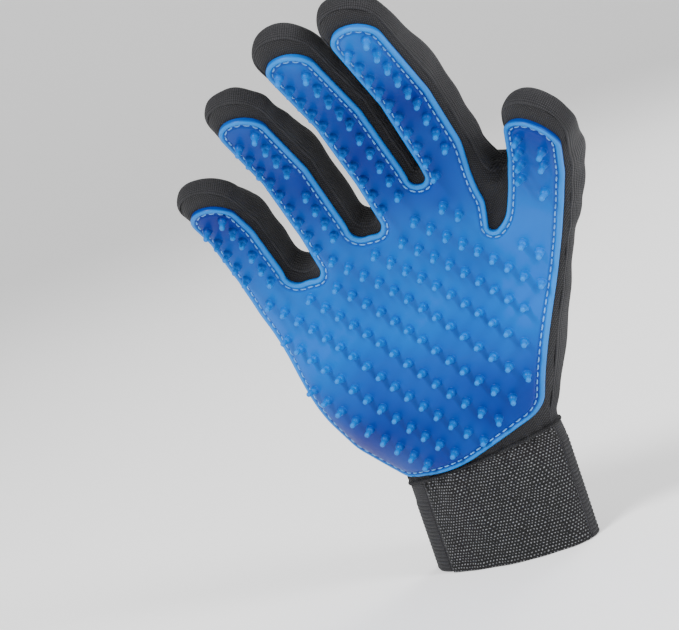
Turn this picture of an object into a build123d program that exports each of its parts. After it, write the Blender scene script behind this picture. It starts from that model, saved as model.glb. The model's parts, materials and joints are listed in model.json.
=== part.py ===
"""Grooming glove for the right hand: a stretch fabric glove with a soft rubber palm pad full of pins.

Frame: the origin is the centre of the wrist opening, +Z runs up through the hand to the
fingertips, the palm faces -Y and the thumb is at +X. Lengths are millimetres, angles degrees.
"""
from build123d import *
from math import cos, floor, radians, sin
import os

# ---- driving dimensions -------------------------------------------------------------------
CUFF_WIDTH, CUFF_DEPTH, CUFF_WALL = 76, 38, 2      # oval stretch cuff, outside
SEAM_HEIGHT, SEAM_TILT = 47, 9.5                   # top of the cuff; it rises towards the thumb
CUFF_PANEL_REACH = 7                               # the woven cuff panel ends this far before mid depth

PAD, BASE, MESH, BAND = 2.0, 1.0, 3.0, 1.5         # thickness: rubber, base cloth, air mesh, side band
FRONT = PAD + BASE

HEEL_LEAN, HEEL_RADIUS, HOLLOW_RADIUS = 25, 120, 67   # side view of the palm: heel bulge, then hollow
PALM_TURN = 30                                     # each of the two arcs turns this much
ROOT_T = 145                                       # plan height at which the finger roots begin
ROOT_DEPTH = 20                                    # hand thickness at the finger roots
PALM_EDGE = 27                                     # lean of the thumb and of the palm's thumb edge

STALL_WIDTH, STALL_CORNER = 26.5, 3.5              # finger tubes
PAD_WIDTH, THUMB_WIDTH, THUMB_PAD_WIDTH = 20, 28.5, 23
TIP_ROUND = 7                                      # rounding of a fingertip in the side view
WEB_MARGIN = 3.5                                   # cloth between the pad and a web's edge
TIP_COVER = 8                                      # cloth past the end of the pad on each fingertip
KNUCKLE_BEND, MIDDLE_BEND = 6, 12                  # bend of the resting fingers at their two joints
THUMB_TWIST = 15                                   # the thumb's pad turns in towards the fingers

# name: x of the centre line, splay, plan height of the knuckle, lower length, upper pad length
FINGERS = {
    "index": (46.5, 0, 186, 32, 46),
    "middle": (17.5, 2, 186, 32, 42),
    "ring": (-18, 0, 168, 32, 40),
    "little": (-56, 0, 155, 24, 22),
}
# plan height of the cloth edge between neighbouring fingers
WEBS = {("little", "ring"): 149, ("ring", "middle"): 162.5, ("middle", "index"): 180.5}
THUMB_HINGE, THUMB_LOWER, THUMB_UPPER = (74, 156.5), 16, 28
LANE_START, THUMB_ROOT = 134, 24                   # where the straight finger and thumb roots begin

PIN_HEIGHT, PIN_FOOT, PIN_TIP = 5.5, 1.5, 1.0      # moulded pins: height and radii
PIN_PITCH, PIN_ROWS = 7.2, 12.55                   # palm pins: spacing in a row, between rows
TIP_PIN = 2.5                                      # the last finger pin, above the centre of the tip arc
STALL_PITCH, STALL_COLUMN = 8, 4.75                # finger pins: spacing along, offset from the middle
PIN_MARGIN, PIN_GUARD = 4.6, 2                     # clear of the pad edge, clear of a joint line
THUMB_BARE = 3                                     # no pin this near the thumb's joint line: the palm pad
                                                   # stands proud of the twisted thumb pad there
ROW_COUNT, COLUMN_COUNT, ROW_TURN = 10, 12, 50     # palm rows, and how far they turn down from +X
FIRST_PIN = (-35, 29)                              # a pin of the lowest row: x, way up the palm from the cuff
KNUCKLE_ROW, KNUCKLE_RISE = 161, 0.24              # plan height where the palm rows end at x = 0

STITCH, STITCH_STEP, STITCH_WIDTH, STITCH_RISE = 2.6, 4.0, 0.6, 0.4
STITCH_INSET = 2.4                                 # thread line inside the pad edge
JOINT_GAP = 0.3                                    # room between the pieces on each side of a joint

FAR = 160                                          # longer than the glove is wide


# ---- planes -------------------------------------------------------------------------------
def upward(lean):
    """Direction in the side view (Y, Z) that leans forward, towards the palm side."""
    return (-sin(radians(lean)), cos(radians(lean)))


def leaning_plane(origin, lean):
    """Plane whose local x is +X, local y runs up the hand and normal faces the palm side."""
    return Plane(origin=origin, x_dir=(1, 0, 0), z_dir=(0, -cos(radians(lean)), -sin(radians(lean))))


with BuildLine(Plane.YZ) as palm_curve:
    heel = JernArc((-CUFF_DEPTH / 2, SEAM_HEIGHT), upward(HEEL_LEAN), HEEL_RADIUS, -PALM_TURN)
    JernArc(heel @ 1, heel % 1, HOLLOW_RADIUS, PALM_TURN)

palm_line = palm_curve.wire()
root_start = palm_line @ 1
root_up = Vector(0, *upward(HEEL_LEAN))
ROOT = leaning_plane(root_start - root_up * ROOT_T, HEEL_LEAN)
THUMB_UP = Vector(sin(radians(PALM_EDGE)), cos(radians(PALM_EDGE)))
SEAM = Plane(origin=(0, 0, SEAM_HEIGHT), z_dir=(-sin(radians(SEAM_TILT)), 0, cos(radians(SEAM_TILT))))


def hinged(plane, bend):
    """The plane turned forward about its own x axis."""
    return Plane(plane.location * Location((0, 0, 0), (bend, 0, 0)))


def stall_planes():
    """Front plane of every finger segment at rest: the origin is the middle of its joint line."""
    planes = {}
    for name, (x, splay, knuckle, lower, _) in FINGERS.items():
        first = hinged(Plane(ROOT.location * Location((x, knuckle, 0), (0, 0, splay))), KNUCKLE_BEND)
        planes[name + "_lower"] = first
        planes[name + "_upper"] = hinged(Plane(first.location * Location((0, lower, 0))), MIDDLE_BEND)
    root = Plane(ROOT.location * Location((*THUMB_HINGE, 0), (0, 0, -PALM_EDGE)))
    first = hinged(Plane(root.location * Location((0, 0, 0), (0, -THUMB_TWIST, 0))), KNUCKLE_BEND)
    planes["thumb_lower"] = first
    planes["thumb_upper"] = hinged(Plane(first.location * Location((0, THUMB_LOWER, 0))), MIDDLE_BEND)
    return planes


PLANES = stall_planes()


def section_plane(front):
    """Across the finger: local x is the width, local y the depth from the pad face inwards."""
    return Plane(origin=front.origin, x_dir=front.x_dir, z_dir=front.y_dir)


def profile_plane(front):
    """Side view of the finger: local x runs along it, local y is the depth inwards."""
    return Plane(origin=front.origin, x_dir=front.y_dir, z_dir=-front.x_dir)


# ---- outlines -----------------------------------------------------------------------------
def side_view(inset):
    """Side view of the hollow hand, run on past the cuff seam and past the knuckles."""
    past = root_start + root_up * 90
    back = Vector(0, cos(radians(HEEL_LEAN)), sin(radians(HEEL_LEAN))) * ROOT_DEPTH
    with BuildSketch() as view:
        with BuildLine():
            low = Line((-CUFF_DEPTH / 2, 20), (-CUFF_DEPTH / 2, SEAM_HEIGHT))
            first = JernArc(low @ 1, upward(HEEL_LEAN), HEEL_RADIUS, -PALM_TURN)
            JernArc(first @ 1, first % 1, HOLLOW_RADIUS, PALM_TURN)
            Polyline((root_start.Y, root_start.Z), (past.Y, past.Z),
                     (past.Y + back.Y, past.Z + back.Z), (root_start.Y + back.Y, root_start.Z + back.Z),
                     (CUFF_DEPTH / 2, SEAM_HEIGHT + 2), (CUFF_DEPTH / 2, 20), (-CUFF_DEPTH / 2, 20))
        make_face()
        if inset:
            offset(amount=-inset, kind=Kind.INTERSECTION)
    return view.sketch


def hand_wall(outer, inner, side):
    """Front (-1) or back (+1) wall of the hand between two insets of the side view, along X."""
    middle = root_start + Vector(0, cos(radians(HEEL_LEAN)), sin(radians(HEEL_LEAN))) * ROOT_DEPTH / 2
    end = middle + root_up * 120
    with BuildPart() as wall:
        with BuildSketch(Plane.YZ):
            with BuildLine():
                Polyline((0, 0), (0, SEAM_HEIGHT), (middle.Y, middle.Z), (end.Y, end.Z),
                         (side * FAR, end.Z), (side * FAR, 0), (0, 0))
            make_face()
            add(side_view(outer), mode=Mode.INTERSECT)
            add(side_view(inner), mode=Mode.SUBTRACT)
        extrude(amount=FAR, both=True)
    return wall.part


def hand_plan(inset=0, overrun=0):
    """Plan of palm and finger roots; overrun runs the finger roots and the wrist on, open."""
    thumb = Vector(*THUMB_HINGE) - THUMB_UP * THUMB_ROOT
    edge = thumb + Vector(THUMB_UP.Y, -THUMB_UP.X) * THUMB_WIDTH / 2
    with BuildSketch() as plan:
        with BuildLine():
            Polyline((-CUFF_WIDTH / 2, 45), (-CUFF_WIDTH / 2, 20), (CUFF_WIDTH / 2, 20), (CUFF_WIDTH / 2, 56),
                     edge - THUMB_UP * 60, edge, thumb, (30, 160), (-30, 146),
                     (-69.25, LANE_START), (-59, 83))
            ThreePointArc((-59, 83), (-52, 61), (-CUFF_WIDTH / 2, 45))
        make_face()
        if inset:
            offset(amount=-inset, kind=Kind.INTERSECTION)
        for x, splay, knuckle, _, _ in FINGERS.values():
            with Locations(Location((x, knuckle, 0), (0, 0, splay))):
                with Locations((0, overrun)):
                    reach = knuckle - LANE_START + overrun
                    Rectangle(STALL_WIDTH - 2 * inset, reach, align=(Align.CENTER, Align.MAX))
        with Locations(Location((*THUMB_HINGE, 0), (0, 0, -PALM_EDGE))):
            with Locations((0, overrun)):
                reach = THUMB_ROOT + 10 + overrun
                Rectangle(THUMB_WIDTH - 2 * inset, reach, align=(Align.CENTER, Align.MAX))
        for (left, right), height in WEBS.items():
            start = FINGERS[left][0] + STALL_WIDTH / 2
            end = FINGERS[right][0] - STALL_WIDTH / 2
            radius = (end - start) / 2
            with Locations(((start + end) / 2, height + radius)):
                Rectangle(2 * radius + 6, 30, align=(Align.CENTER, Align.MAX))
                Circle(radius + inset, mode=Mode.SUBTRACT)
        if overrun:
            with Locations((0, 20)):
                Rectangle(CUFF_WIDTH - 2 * inset, 30)
    return plan.sketch


def pad_plan(inset=0, overrun=0):
    """Plan of the palm pad: it stays a little inside the cloth all round."""
    thumb = Vector(*THUMB_HINGE) - THUMB_UP * THUMB_ROOT
    across = Vector(THUMB_UP.Y, -THUMB_UP.X) * THUMB_PAD_WIDTH / 2
    low_edge = thumb + across - THUMB_UP * 53
    with BuildSketch() as plan:
        with BuildLine():
            Polyline(low_edge, thumb + across, thumb - across, (30, 160), (-30, 143),
                     (-66, LANE_START), (-55.5, 82))
            ThreePointArc((-55.5, 82), (-48, 61), (-29, 49))
            ThreePointArc((-29, 49), (14, 53.5), low_edge)
        make_face()
        if inset:
            offset(amount=-inset, kind=Kind.INTERSECTION)
        for x, splay, knuckle, _, _ in FINGERS.values():
            with Locations(Location((x, knuckle, 0), (0, 0, splay))):
                with Locations((0, overrun)):
                    reach = knuckle - LANE_START + overrun
                    Rectangle(PAD_WIDTH - 2 * inset, reach, align=(Align.CENTER, Align.MAX))
        with Locations(Location((*THUMB_HINGE, 0), (0, 0, -PALM_EDGE))):
            with Locations((0, overrun)):
                reach = THUMB_ROOT + 10 + overrun
                Rectangle(THUMB_PAD_WIDTH - 2 * inset, reach, align=(Align.CENTER, Align.MAX))
        for (left, right), height in WEBS.items():
            start = FINGERS[left][0] + PAD_WIDTH / 2 - inset
            gap = FINGERS[right][0] - PAD_WIDTH / 2 + inset - start
            with Locations((start + gap / 2, height - WEB_MARGIN - inset)):
                Rectangle(gap + 4, 30, align=(Align.CENTER, Align.MAX))
                RectangleRounded(gap, 80, 0.48 * gap, align=(Align.CENTER, Align.MIN), mode=Mode.SUBTRACT)
    return plan.sketch


def stall_bar(front, width, length, closed, hollow):
    """Solid finger shape: the outside of a finger tube, or with hollow the space inside it."""
    side = BAND if hollow else 0
    top, bottom = (FRONT, ROOT_DEPTH - MESH) if hollow else (PAD, ROOT_DEPTH)
    start = -5 if hollow else JOINT_GAP
    end = length - side if closed else length + (5 if hollow else 0)
    wide, deep = width - 2 * side, bottom - top
    with BuildPart() as bar:
        with BuildSketch(section_plane(front)):
            with Locations((0, (top + bottom) / 2)):
                RectangleRounded(wide, deep, STALL_CORNER - side)
        extrude(amount=FAR, both=True)
        with BuildSketch(front):
            tip = end - wide / 2 if closed else end
            with Locations((0, start)):
                Rectangle(wide, tip - start, align=(Align.CENTER, Align.MIN))
            if closed:
                with Locations((0, tip)):
                    Circle(wide / 2)
        extrude(amount=FAR, both=True, mode=Mode.INTERSECT)
        if closed:
            with BuildSketch(profile_plane(front)):
                with Locations((end, (top + bottom) / 2)):
                    RectangleRounded(3 * length, deep, TIP_ROUND - side, align=(Align.MAX, Align.CENTER))
            extrude(amount=FAR, both=True, mode=Mode.INTERSECT)
    return bar.part


def depth_slab(front, start, end):
    """Everything between two depths below the front plane of a finger."""
    with BuildPart() as slab:
        with BuildSketch(front.offset(-start)):
            Rectangle(FAR, FAR)
        extrude(amount=start - end)
    return slab.part


# ---- pins and stitches --------------------------------------------------------------------
with BuildPart() as pin:
    with BuildSketch(Plane.XZ):
        Polygon((0, -0.3), (PIN_FOOT, -0.3), (PIN_FOOT - 0.15, PIN_HEIGHT * 0.36), (PIN_TIP + 0.1, PIN_HEIGHT * 0.42),
                (PIN_TIP - 0.05, PIN_HEIGHT - 0.4), (PIN_TIP - 0.4, PIN_HEIGHT), (0, PIN_HEIGHT), align=None)
    revolve(axis=Axis.Z)


def stall_pins(front, start, end):
    """Two staggered columns of pins up a finger, laid out from its joint line."""
    spots = []
    for side, first in ((-1, PIN_GUARD), (1, PIN_GUARD + STALL_PITCH / 2)):
        rows = range(floor((start - first) / STALL_PITCH) + 1, floor((end - first) / STALL_PITCH) + 1)
        spots += [(side * STALL_COLUMN, first + row * STALL_PITCH) for row in rows]
    return [front.location * Location((x, y, 0)) for x, y in spots]


def palm_pins():
    """Rows that run down across the palm towards the thumb, and columns in the finger roots."""
    area = pad_plan(PIN_MARGIN, PIN_MARGIN).faces()[0]
    root_line = Edge.make_line(root_start, root_start + root_up * 60)
    row_way = Vector(cos(radians(ROW_TURN)), -sin(radians(ROW_TURN)))
    next_row = Vector(-row_way.Y, row_way.X)
    spots = []
    for row in range(ROW_COUNT):
        for column in range(-COLUMN_COUNT, COLUMN_COUNT + 1):
            spot = Vector(*FIRST_PIN) + next_row * (row * PIN_ROWS) + row_way * (column * PIN_PITCH)
            x, run = spot.X, spot.Y
            if not 0 < run < palm_line.length + 30:
                continue
            line, at = (palm_line, run) if run < palm_line.length else (root_line, run - palm_line.length)
            point = line.position_at(at, position_mode=PositionMode.LENGTH)
            climb = line.tangent_at(at, position_mode=PositionMode.LENGTH)
            height = ROOT.to_local_coords(point).Y
            below_roots = height < KNUCKLE_ROW + KNUCKLE_RISE * x
            below_thumb = (Vector(x, height) - Vector(*THUMB_HINGE)).dot(THUMB_UP) < -2 * PIN_GUARD
            if below_roots and below_thumb and area.is_inside(Vector(x, height)):
                normal = Vector(1, 0, 0).cross(climb)
                spots.append(Plane(origin=(x, point.Y, point.Z), x_dir=(1, 0, 0), z_dir=normal).location)
    for x, splay, knuckle, _, _ in FINGERS.values():
        root = Plane(ROOT.location * Location((x, knuckle, 0), (0, 0, splay)))
        reach = KNUCKLE_ROW + KNUCKLE_RISE * x + PIN_FOOT * 2 - knuckle
        spots += stall_pins(root, reach, 0)
    return spots


def dashes_along(path, start=0):
    """Stitches laid end to end along a line drawn in a plan."""
    count = floor((path.length - start) / STITCH_STEP)
    places = []
    for n in range(count):
        at = start + (n + 0.5) * STITCH_STEP
        point = path.position_at(at, position_mode=PositionMode.LENGTH)
        along = path.tangent_at(at, position_mode=PositionMode.LENGTH)
        turn = Vector(1, 0, 0).get_signed_angle(along, Vector(0, 0, 1))
        places.append(Location((point.X, point.Y, 0), (0, 0, turn)))
    return places


# ---- hand ---------------------------------------------------------------------------------
def cuff_tube():
    """Oval tube from the wrist opening up to the seam."""
    with BuildPart() as tube:
        with BuildSketch():
            Ellipse(CUFF_WIDTH / 2, CUFF_DEPTH / 2)
            Ellipse(CUFF_WIDTH / 2 - CUFF_WALL, CUFF_DEPTH / 2 - CUFF_WALL, mode=Mode.SUBTRACT)
        extrude(amount=FAR / 2)
        split(bisect_by=SEAM, keep=Keep.BOTTOM)
    return tube.part


def cuff_block(y_start, y_end):
    """The part of space in front of or behind the cuff's side seams."""
    with BuildPart() as block:
        with BuildSketch():
            with Locations((0, (y_start + y_end) / 2)):
                Rectangle(FAR, y_end - y_start)
        extrude(amount=FAR)
    return block.part


def panel_on_hand(plan, wall):
    """A plan of the hand cut out of one of its walls, above the cuff seam."""
    with BuildPart() as panel:
        with BuildSketch(ROOT):
            add(plan)
        extrude(amount=FAR, both=True)
        add(wall, mode=Mode.INTERSECT)
        split(bisect_by=SEAM, keep=Keep.TOP)
    return panel.part


def hand_bands():
    """The strip of cloth round the edge of the hand: the webs, then its two long sides."""
    with BuildPart() as bands:
        with BuildSketch(ROOT):
            add(hand_plan())
            add(hand_plan(BAND, STALL_PITCH), mode=Mode.SUBTRACT)
        extrude(amount=FAR, both=True)
        with BuildSketch(Plane.YZ):
            add(side_view(FRONT))
        extrude(amount=FAR, both=True, mode=Mode.INTERSECT)
        split(bisect_by=SEAM, keep=Keep.TOP)
    return bands.solids().sort_by(SortBy.VOLUME)


def finish(part, name):
    """Label one finished piece and write it."""
    part.label = name
    export_step(part, f"parts/{name}.step")


os.makedirs("parts", exist_ok=True)

with BuildPart() as cuff_palm_panel:
    add(cuff_tube())
    add(cuff_block(-FAR, -CUFF_PANEL_REACH), mode=Mode.INTERSECT)
finish(cuff_palm_panel.part, "cuff_palm_panel")

with BuildPart() as cuff_elastic_band:
    add(cuff_tube())
    add(cuff_block(-CUFF_PANEL_REACH, FAR), mode=Mode.INTERSECT)
finish(cuff_elastic_band.part, "cuff_elastic_band")

with BuildPart() as palm_base_panel:
    add(panel_on_hand(hand_plan(), hand_wall(PAD, FRONT, -1)))
finish(palm_base_panel.part, "palm_base_panel")

with BuildPart() as back_mesh_panel:
    add(panel_on_hand(hand_plan(), hand_wall(0, FRONT, 1)))
finish(back_mesh_panel.part, "back_mesh_panel")

*webs, thumb_side, little_side = hand_bands()

with BuildPart() as little_side_band:
    add(little_side)
finish(little_side_band.part, "little_side_band")

with BuildPart() as finger_webs:
    add(webs)
finish(finger_webs.part, "finger_webs")

with BuildPart() as thumb_side_band:
    add(thumb_side)
finish(thumb_side_band.part, "thumb_side_band")

with BuildPart() as palm_pad:
    add(panel_on_hand(pad_plan(), hand_wall(0, PAD, -1)))
    with Locations(*palm_pins()):
        add(pin)
finish(palm_pad.part, "palm_pad")

thread_line = pad_plan(STITCH_INSET, STALL_PITCH).faces()[0].outer_wire()
pad_edge = pad_plan(0, -STITCH).faces()[0]
with BuildSketch() as palm_dashes:
    places = dashes_along(thread_line)
    with Locations(*[place for place in places if pad_edge.is_inside(place.position)]):
        SlotOverall(STITCH, STITCH_WIDTH)
with BuildPart() as palm_pad_thread:
    add(panel_on_hand(palm_dashes.sketch, hand_wall(-STITCH_RISE, 0, -1)))
finish(palm_pad_thread.part, "palm_pad_thread")


# ---- fingers and thumb --------------------------------------------------------------------
def make_segment(name, width, pad_width, length, pad_length, closed, bare=0):
    """Five pieces of one finger segment: pad with pins, its thread, base cloth, side band, mesh."""
    front = PLANES[name]
    tube = (front, width, length, closed)

    with BuildPart() as pad:
        with BuildSketch(front):
            body = pad_length - pad_width / 2 if closed else pad_length
            with Locations((0, JOINT_GAP)):
                Rectangle(pad_width, body - JOINT_GAP, align=(Align.CENTER, Align.MIN))
            if closed:
                with Locations((0, body)):
                    Circle(pad_width / 2)
        extrude(amount=-PAD)
        last_pin = body + TIP_PIN if closed else pad_length - PIN_GUARD
        with Locations(*stall_pins(front, bare, last_pin)):
            add(pin)
    finish(pad.part, name + "_pad")

    with BuildPart() as thread:
        with BuildSketch(front):
            with BuildLine(mode=Mode.PRIVATE) as line:
                half = pad_width / 2 - STITCH_INSET
                right = Line((half, 0), (half, body))
                if closed:
                    ThreePointArc((half, body), (0, body + half), (-half, body))
                left = Line((-half, body), (-half, 0))
            for path in [line.wire()] if closed else [right, left]:
                with Locations(*dashes_along(path)):
                    SlotOverall(STITCH, STITCH_WIDTH)
        extrude(amount=STITCH_RISE)
    finish(thread.part, name + "_pad_thread")

    for piece, start, end in (("base", 0, PAD + STALL_CORNER),
                              ("side_band", PAD + STALL_CORNER, ROOT_DEPTH - STALL_CORNER),
                              ("mesh_back", ROOT_DEPTH - STALL_CORNER, FAR)):
        with BuildPart() as panel:
            add(stall_bar(*tube, hollow=False))
            add(stall_bar(*tube, hollow=True), mode=Mode.SUBTRACT)
            add(depth_slab(front, start, end), mode=Mode.INTERSECT)
        finish(panel.part, f"{name}_{piece}")


for finger, (_, _, _, lower, pad_tip) in FINGERS.items():
    make_segment(finger + "_lower", STALL_WIDTH, PAD_WIDTH, lower, lower, closed=False)
    make_segment(finger + "_upper", STALL_WIDTH, PAD_WIDTH, pad_tip + TIP_COVER, pad_tip, closed=True)
make_segment("thumb_lower", THUMB_WIDTH, THUMB_PAD_WIDTH, THUMB_LOWER, THUMB_LOWER, closed=False,
             bare=THUMB_BARE)
make_segment("thumb_upper", THUMB_WIDTH, THUMB_PAD_WIDTH, THUMB_UPPER + TIP_COVER, THUMB_UPPER, closed=True)
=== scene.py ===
import json
import math

import bmesh
import bpy
import numpy as np
from mathutils import Matrix, Vector
from mathutils.geometry import delaunay_2d_cdt


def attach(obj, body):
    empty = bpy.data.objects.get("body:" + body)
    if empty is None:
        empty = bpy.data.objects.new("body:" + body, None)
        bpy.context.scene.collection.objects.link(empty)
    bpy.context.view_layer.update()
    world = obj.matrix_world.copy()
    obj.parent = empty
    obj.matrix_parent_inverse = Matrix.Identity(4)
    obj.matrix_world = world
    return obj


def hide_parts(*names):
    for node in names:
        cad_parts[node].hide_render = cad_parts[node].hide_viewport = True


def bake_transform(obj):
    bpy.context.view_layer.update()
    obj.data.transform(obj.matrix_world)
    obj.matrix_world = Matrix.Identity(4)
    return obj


# Grooming glove. The glove is laid out as a flat pattern: x across the hand and s up it, both in
# millimetres, with s measured along the palm face from the wrist opening. "frac" is the place in the
# cross-section: 1 is the palm face of the cloth, 0 its side, -1 its back. place() turns the pattern
# into the glove's real shape, and only the last step turns millimetres into metres.

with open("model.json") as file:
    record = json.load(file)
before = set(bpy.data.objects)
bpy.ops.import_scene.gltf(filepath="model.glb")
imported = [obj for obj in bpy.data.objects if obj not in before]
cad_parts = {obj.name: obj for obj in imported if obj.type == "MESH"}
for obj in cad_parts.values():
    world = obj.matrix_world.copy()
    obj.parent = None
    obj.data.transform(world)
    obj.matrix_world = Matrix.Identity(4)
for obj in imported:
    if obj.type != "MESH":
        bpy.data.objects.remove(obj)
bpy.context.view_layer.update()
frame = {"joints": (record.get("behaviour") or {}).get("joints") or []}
MM = 0.001

# ---- camera, a little above the middle of the glove and rolled to one side -------------------
AZIMUTH, ELEVATION, ROLL, DISTANCE = math.radians(27), math.radians(8), math.radians(-19), 0.9
TARGET = Vector((-0.0265, -0.0375, 0.1273))
eye = Vector((math.sin(AZIMUTH) * math.cos(ELEVATION), -math.cos(AZIMUTH) * math.cos(ELEVATION),
              math.sin(ELEVATION)))
level = Vector((math.cos(AZIMUTH), math.sin(AZIMUTH), 0))
lens = bpy.data.cameras.new("camera")
lens.lens, lens.sensor_width, lens.sensor_fit = 113.2, 36, "HORIZONTAL"
camera = bpy.data.objects.new("camera", lens)
camera.matrix_world = Matrix.Translation(TARGET + eye * DISTANCE) @ (
    Matrix((level, eye.cross(level), eye)).transposed().to_4x4() @ Matrix.Rotation(ROLL, 4, "Z"))
bpy.context.scene.collection.objects.link(camera)
bpy.context.scene.camera = camera

# ---- sizes, in millimetres and degrees ------------------------------------------------------
CUFF_HALF, CUFF_DEEP = 38.0, 19.0            # half width and half depth of the oval cuff
SEAM, SEAM_SLOPE = 47.0, math.tan(math.radians(9.5))   # height of the cuff seam at x = 0, and its rise
HEEL_LEAN, HEEL_RADIUS, HOLLOW_RADIUS, PALM_TURN = 25.0, 120.0, 67.0, 30.0
DEPTH = 20.0                                 # hand thickness at the fingers
PAD = 2.0                                    # rubber thickness
HALF, PAD_HALF = 13.25, 10.0                 # half widths of a finger tube and of its pad
THUMB_HALF, THUMB_PAD_HALF = 14.25, 11.5
THUMB_TURN, THUMB_TWIST = 27.0, -15.0        # the thumb's direction, and the roll of its pad
KNUCKLE_BEND, MIDDLE_BEND = 6.0, 12.0        # resting bend of the joints
COVER = 8.0                                  # cloth past the pad at a fingertip
ZONE = 5.0                                   # cloth bends this far each side of a joint line
SEAM_INSET = 1.25                            # side seams, inside the glove's outline
SECTION = 3.0                                # roundness of the cross-section: 2 is an ellipse
TIP_TAPER = 0.45                             # the fingers grow this much shallower towards their tips
SPARE = 4.0                                  # the worn cloth stands this much deeper than the flat fingers
ARC_STEP = 0.25                              # spacing of the points on an outline's rounded corners
TIP_ROUND = 0.97                             # corner radius of a fingertip, as a share of its half width

PIN_PITCH, PIN_ROWS = 7.2, 12.55             # palm pins: spacing in a row, between rows
ROW_COUNT, COLUMN_COUNT, ROW_TURN = 10, 12, 50.0   # palm rows, and how far they turn down from +x
FIRST_PIN = (-35.0, 29.0)                    # a pin of the lowest row: x, way up from the cuff seam
KNUCKLE_ROW, KNUCKLE_RISE = 161.0, 0.24      # plan height where the palm rows end at x = 0
ROOT_CLEAR = 3.0                             # the finger columns begin this much above the palm rows
HEEL_PLAN, PLAN_SHARE = 51.6, 0.953          # plan height at the cuff seam, and per step up the palm face
PIN_MARGIN = 4.6                             # pins stay this far inside the pad's edge
STALL_COLUMN, STALL_PITCH, PIN_GUARD = 4.75, 8, 2  # finger pins: offset, spacing, clear of a joint line
THUMB_BARE = 3                               # no pin this near the thumb's joint line
TIP_CLEAR, THUMB_TIP_CLEAR = 7.5, 9.0        # and none this near the end of the pad


def ease(t):
    t = np.clip(t, 0.0, 1.0)
    return t * t * (3 - 2 * t)


def seam(x):
    """Height of the cuff seam."""
    return SEAM + SEAM_SLOPE * x


def lean_vectors(lean):
    """Unit vectors up along the palm face and out of it."""
    a = math.radians(lean)
    return np.array([0, -math.sin(a), math.cos(a)]), np.array([0, -math.cos(a), -math.sin(a)])


UP, OUT = lean_vectors(HEEL_LEAN)


def palm_profile(s):
    """Palm face in the side view at pattern height s: (y, z)."""
    lean = math.radians(HEEL_LEAN)
    turn = math.radians(PALM_TURN)
    first, second = HEEL_RADIUS * turn, HOLLOW_RADIUS * turn
    a = lean - np.clip(s - SEAM, 0, first) / HEEL_RADIUS
    y = -CUFF_DEEP - HEEL_RADIUS * (np.cos(a) - math.cos(lean))
    z = np.minimum(s, SEAM) + HEEL_RADIUS * (math.sin(lean) - np.sin(a))
    b = lean - turn + np.clip(s - SEAM - first, 0, second) / HOLLOW_RADIUS
    y = y - HOLLOW_RADIUS * (math.cos(lean - turn) - np.cos(b))
    z = z + HOLLOW_RADIUS * (np.sin(b) - math.sin(lean - turn))
    rest = np.maximum(s - SEAM - first - second, 0)
    return y + rest * UP[1], z + rest * UP[2]


# where the straight finger roots begin
ROOT_S = SEAM + (HEEL_RADIUS + HOLLOW_RADIUS) * math.radians(PALM_TURN)
ROOT = np.array([0.0, *[float(v) for v in palm_profile(np.array(ROOT_S))]])
ROOT_BACK = ROOT - OUT * DEPTH


def back_profile(s):
    """Back of the hand in the side view, matched to the palm face at the same s."""
    t = np.clip((s - SEAM) / (ROOT_S - SEAM), 0, 1)
    swing = t * (0.72 + 0.28 * t)
    rest = np.maximum(s - ROOT_S, 0)
    y = CUFF_DEEP + (ROOT_BACK[1] - CUFF_DEEP) * swing + rest * UP[1]
    z = np.minimum(s, SEAM) + (ROOT_BACK[2] - SEAM) * t + rest * UP[2]
    return y, z


# ---- fingers, read from the frame's joints --------------------------------------------------
def pattern_point(joint):
    point = np.array(joint["pos_m"]) / MM
    return float(point[0]), float(ROOT_S + (point - ROOT) @ UP)


JOINTS = {j["child"]: j for j in frame["joints"]}


class Finger:
    """One finger tube in the pattern: its joint line, direction and lengths."""

    def __init__(self, name, splay, pad_tip, half, pad_half, zone_start):
        self.name, self.half, self.pad_half = name, half, pad_half
        self.x, self.s = pattern_point(JOINTS[name + "_lower"])
        a, b = (np.array(JOINTS[name + part]["pos_m"]) / MM for part in ("_lower", "_upper"))
        self.lower = float(np.linalg.norm(b - a))
        self.pad_tip = self.lower + pad_tip
        self.tip = self.pad_tip + COVER
        turn = math.radians(splay)
        self.along = np.array([-math.sin(turn), math.cos(turn)])
        self.across = np.array([math.cos(turn), math.sin(turn)])
        self.zone_start = zone_start
        self.cut = (zone_start + 2 * ZONE + self.lower - ZONE) / 2

    def at(self, u, v):
        """Pattern point u across and v up the finger from its joint line."""
        return np.array([self.x, self.s]) + self.across * u + self.along * v

    def local(self, x, s):
        rx, rs = x - self.x, s - self.s
        return rx * self.across[0] + rs * self.across[1], rx * self.along[0] + rs * self.along[1]

    def space(self):
        """The unbent tube in space: middle of its joint line on the palm face, across, along."""
        up = self.along[0] * np.array([1.0, 0, 0]) + self.along[1] * UP
        side = self.across[0] * np.array([1.0, 0, 0]) + self.across[1] * UP
        base = ROOT + np.array([self.x, 0, 0]) + UP * (self.s - ROOT_S)
        return base, side, up


LITTLE = Finger("little", 0, 22, HALF, PAD_HALF, -ZONE)
RING = Finger("ring", 0, 40, HALF, PAD_HALF, -ZONE)
MIDDLE = Finger("middle", 2, 42, HALF, PAD_HALF, -ZONE)
INDEX = Finger("index", 0, 46, HALF, PAD_HALF, -ZONE)
THUMB = Finger("thumb", -THUMB_TURN, 28, THUMB_HALF, THUMB_PAD_HALF, 2 - ZONE)
FINGERS = (LITTLE, RING, MIDDLE, INDEX, THUMB)


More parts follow.
